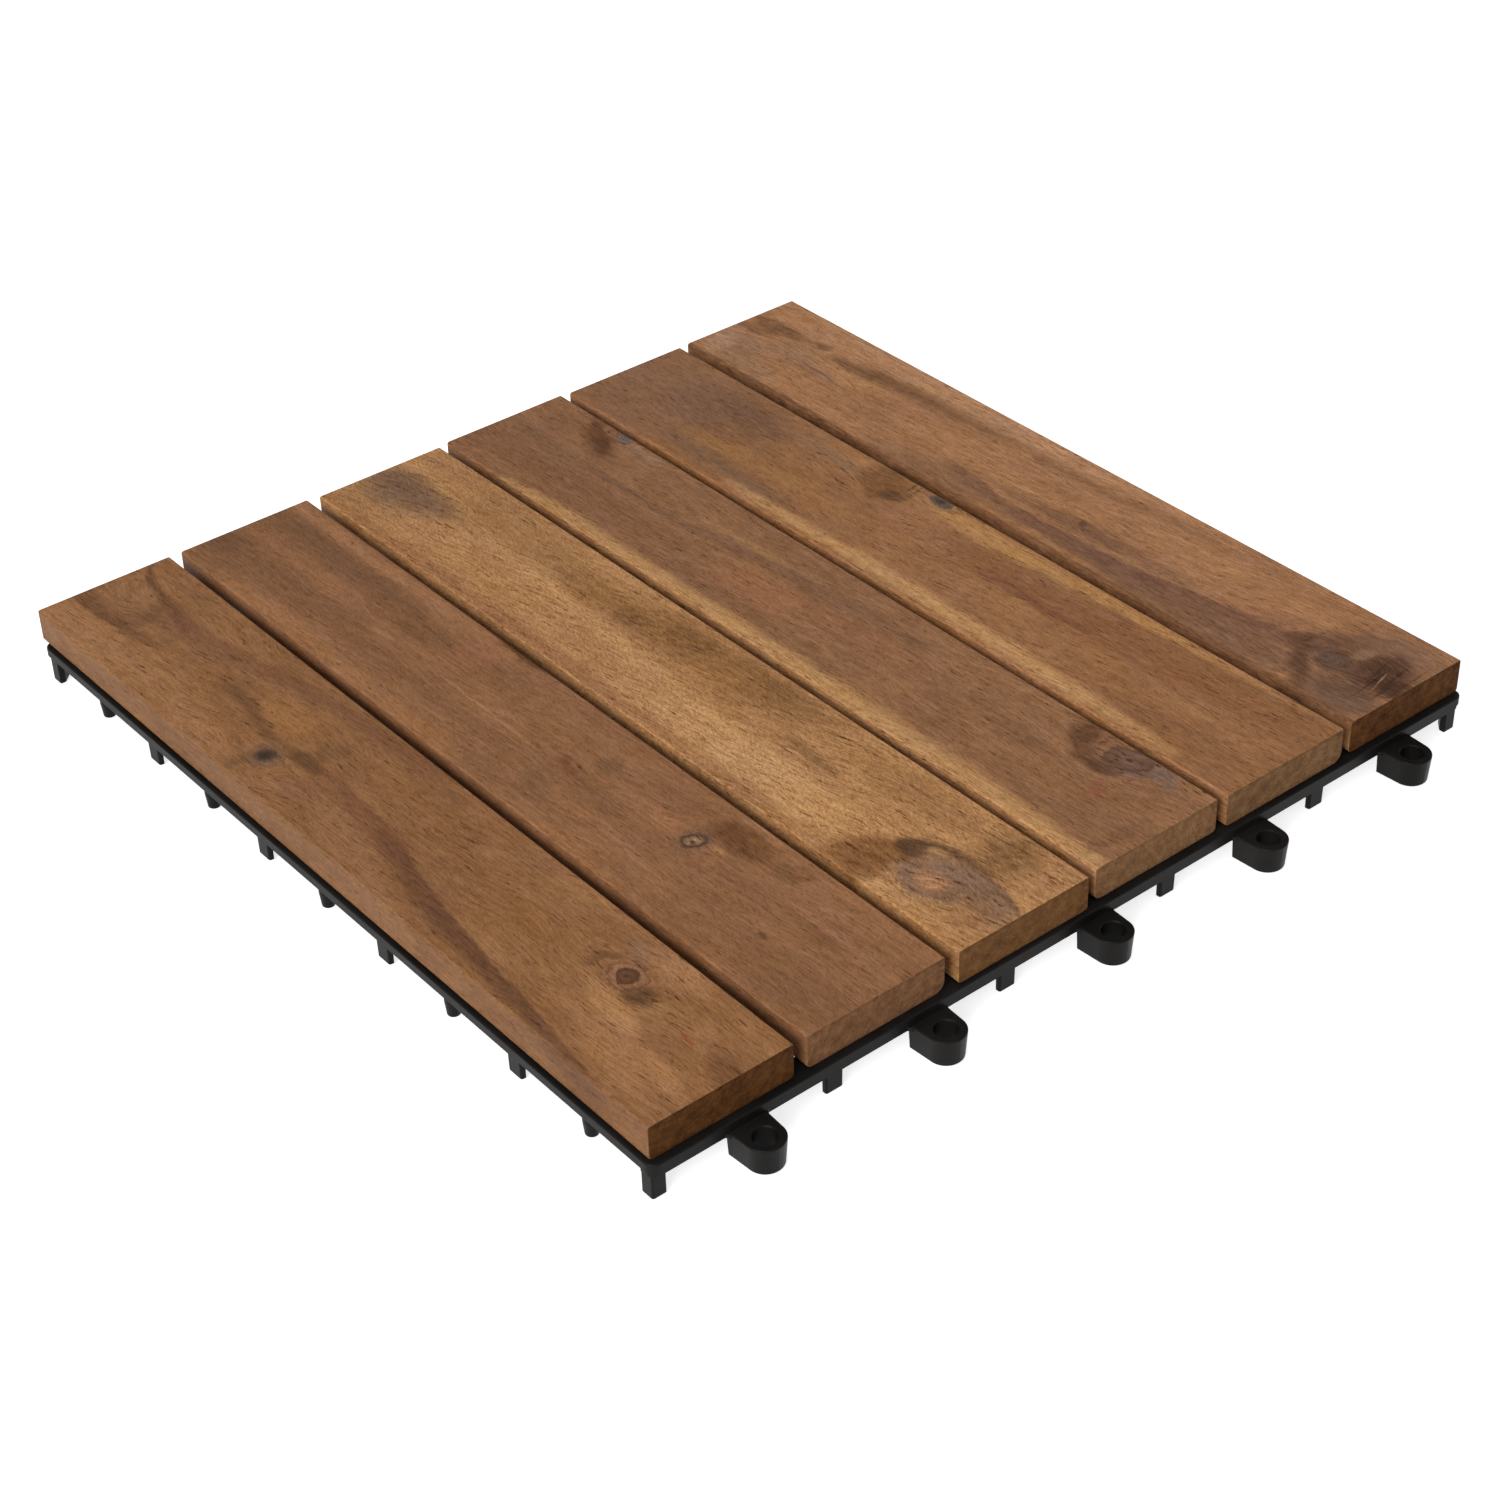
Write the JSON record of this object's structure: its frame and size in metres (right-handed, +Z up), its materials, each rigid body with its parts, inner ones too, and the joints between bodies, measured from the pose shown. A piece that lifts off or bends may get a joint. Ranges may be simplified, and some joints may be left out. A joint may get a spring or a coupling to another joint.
{
  "type": "interlocking deck tile",
  "caption": "Square outdoor floor tile of parallel hardwood slats screwed to an open plastic grid, with locking loops on two sides and pegs on the other two.",
  "frame": {"origin": "middle of the square plastic base at floor level, under the middle foot; the locking loops on +X and +Y reach past the square", "axes": "+X along the slats towards the first row of loops, +Y across the slats towards the second row of loops, +Z up out of the walking face"},
  "size_m": [0.3144, 0.3122, 0.023],
  "materials": {
    "wood_1": "oiled hardwood, fine sanded",
    "wood_2": "oiled hardwood, fine sanded",
    "wood_3": "oiled hardwood, fine sanded",
    "wood_4": "oiled hardwood, fine sanded",
    "wood_5": "oiled hardwood, fine sanded",
    "wood_6": "oiled hardwood, fine sanded",
    "grid_plastic": "fine moulded texture, satin",
    "screw_steel": "zinc plated"
  },
  "bodies": {
    "root": {"base_grid": "grid_plastic", "slat_1": "wood_1", "slat_2": "wood_2", "slat_3": "wood_3", "slat_4": "wood_4", "slat_5": "wood_5", "slat_6": "wood_6", "slat_1_screws": "screw_steel", "slat_2_screws": "screw_steel", "slat_3_screws": "screw_steel", "slat_4_screws": "screw_steel", "slat_5_screws": "screw_steel", "slat_6_screws": "screw_steel"}
  },
  "joints": []
}
